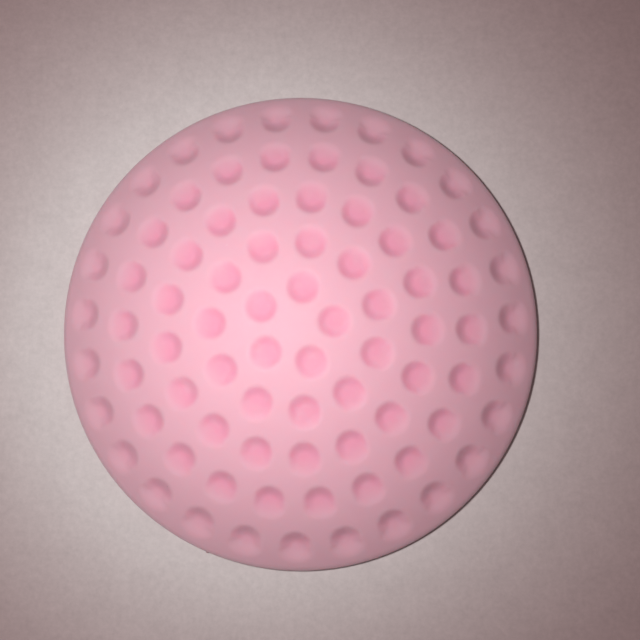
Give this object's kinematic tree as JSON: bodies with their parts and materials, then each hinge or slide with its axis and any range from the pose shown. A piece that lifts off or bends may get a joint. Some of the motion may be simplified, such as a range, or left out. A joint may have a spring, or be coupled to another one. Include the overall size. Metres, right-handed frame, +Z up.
{
  "type": "dimpled exercise half ball",
  "caption": "Shallow soft half ball with rings of round dimples, filled with foam and closed by a stiff base plate on a grip pad.",
  "frame": {"origin": "centre of the resting face, under the middle of the dome", "axes": "+Z up through the crown of the dome; +X to the right and +Y away when it is looked down on, with the first dimple ring's start angles measured from +X"},
  "size_m": [0.06, 0.06, 0.0136],
  "materials": {
    "pink_silicone": "matte, soft-touch, slightly translucent",
    "white_foam": "fine open-cell foam",
    "natural_plastic": "unpainted moulded plastic",
    "pad_rubber": "fine pebbled grip rubber"
  },
  "bodies": {
    "root": {"dome_shell": "pink_silicone", "foam_core": "white_foam", "base_plate": "natural_plastic", "grip_pad": "pad_rubber"}
  },
  "joints": []
}
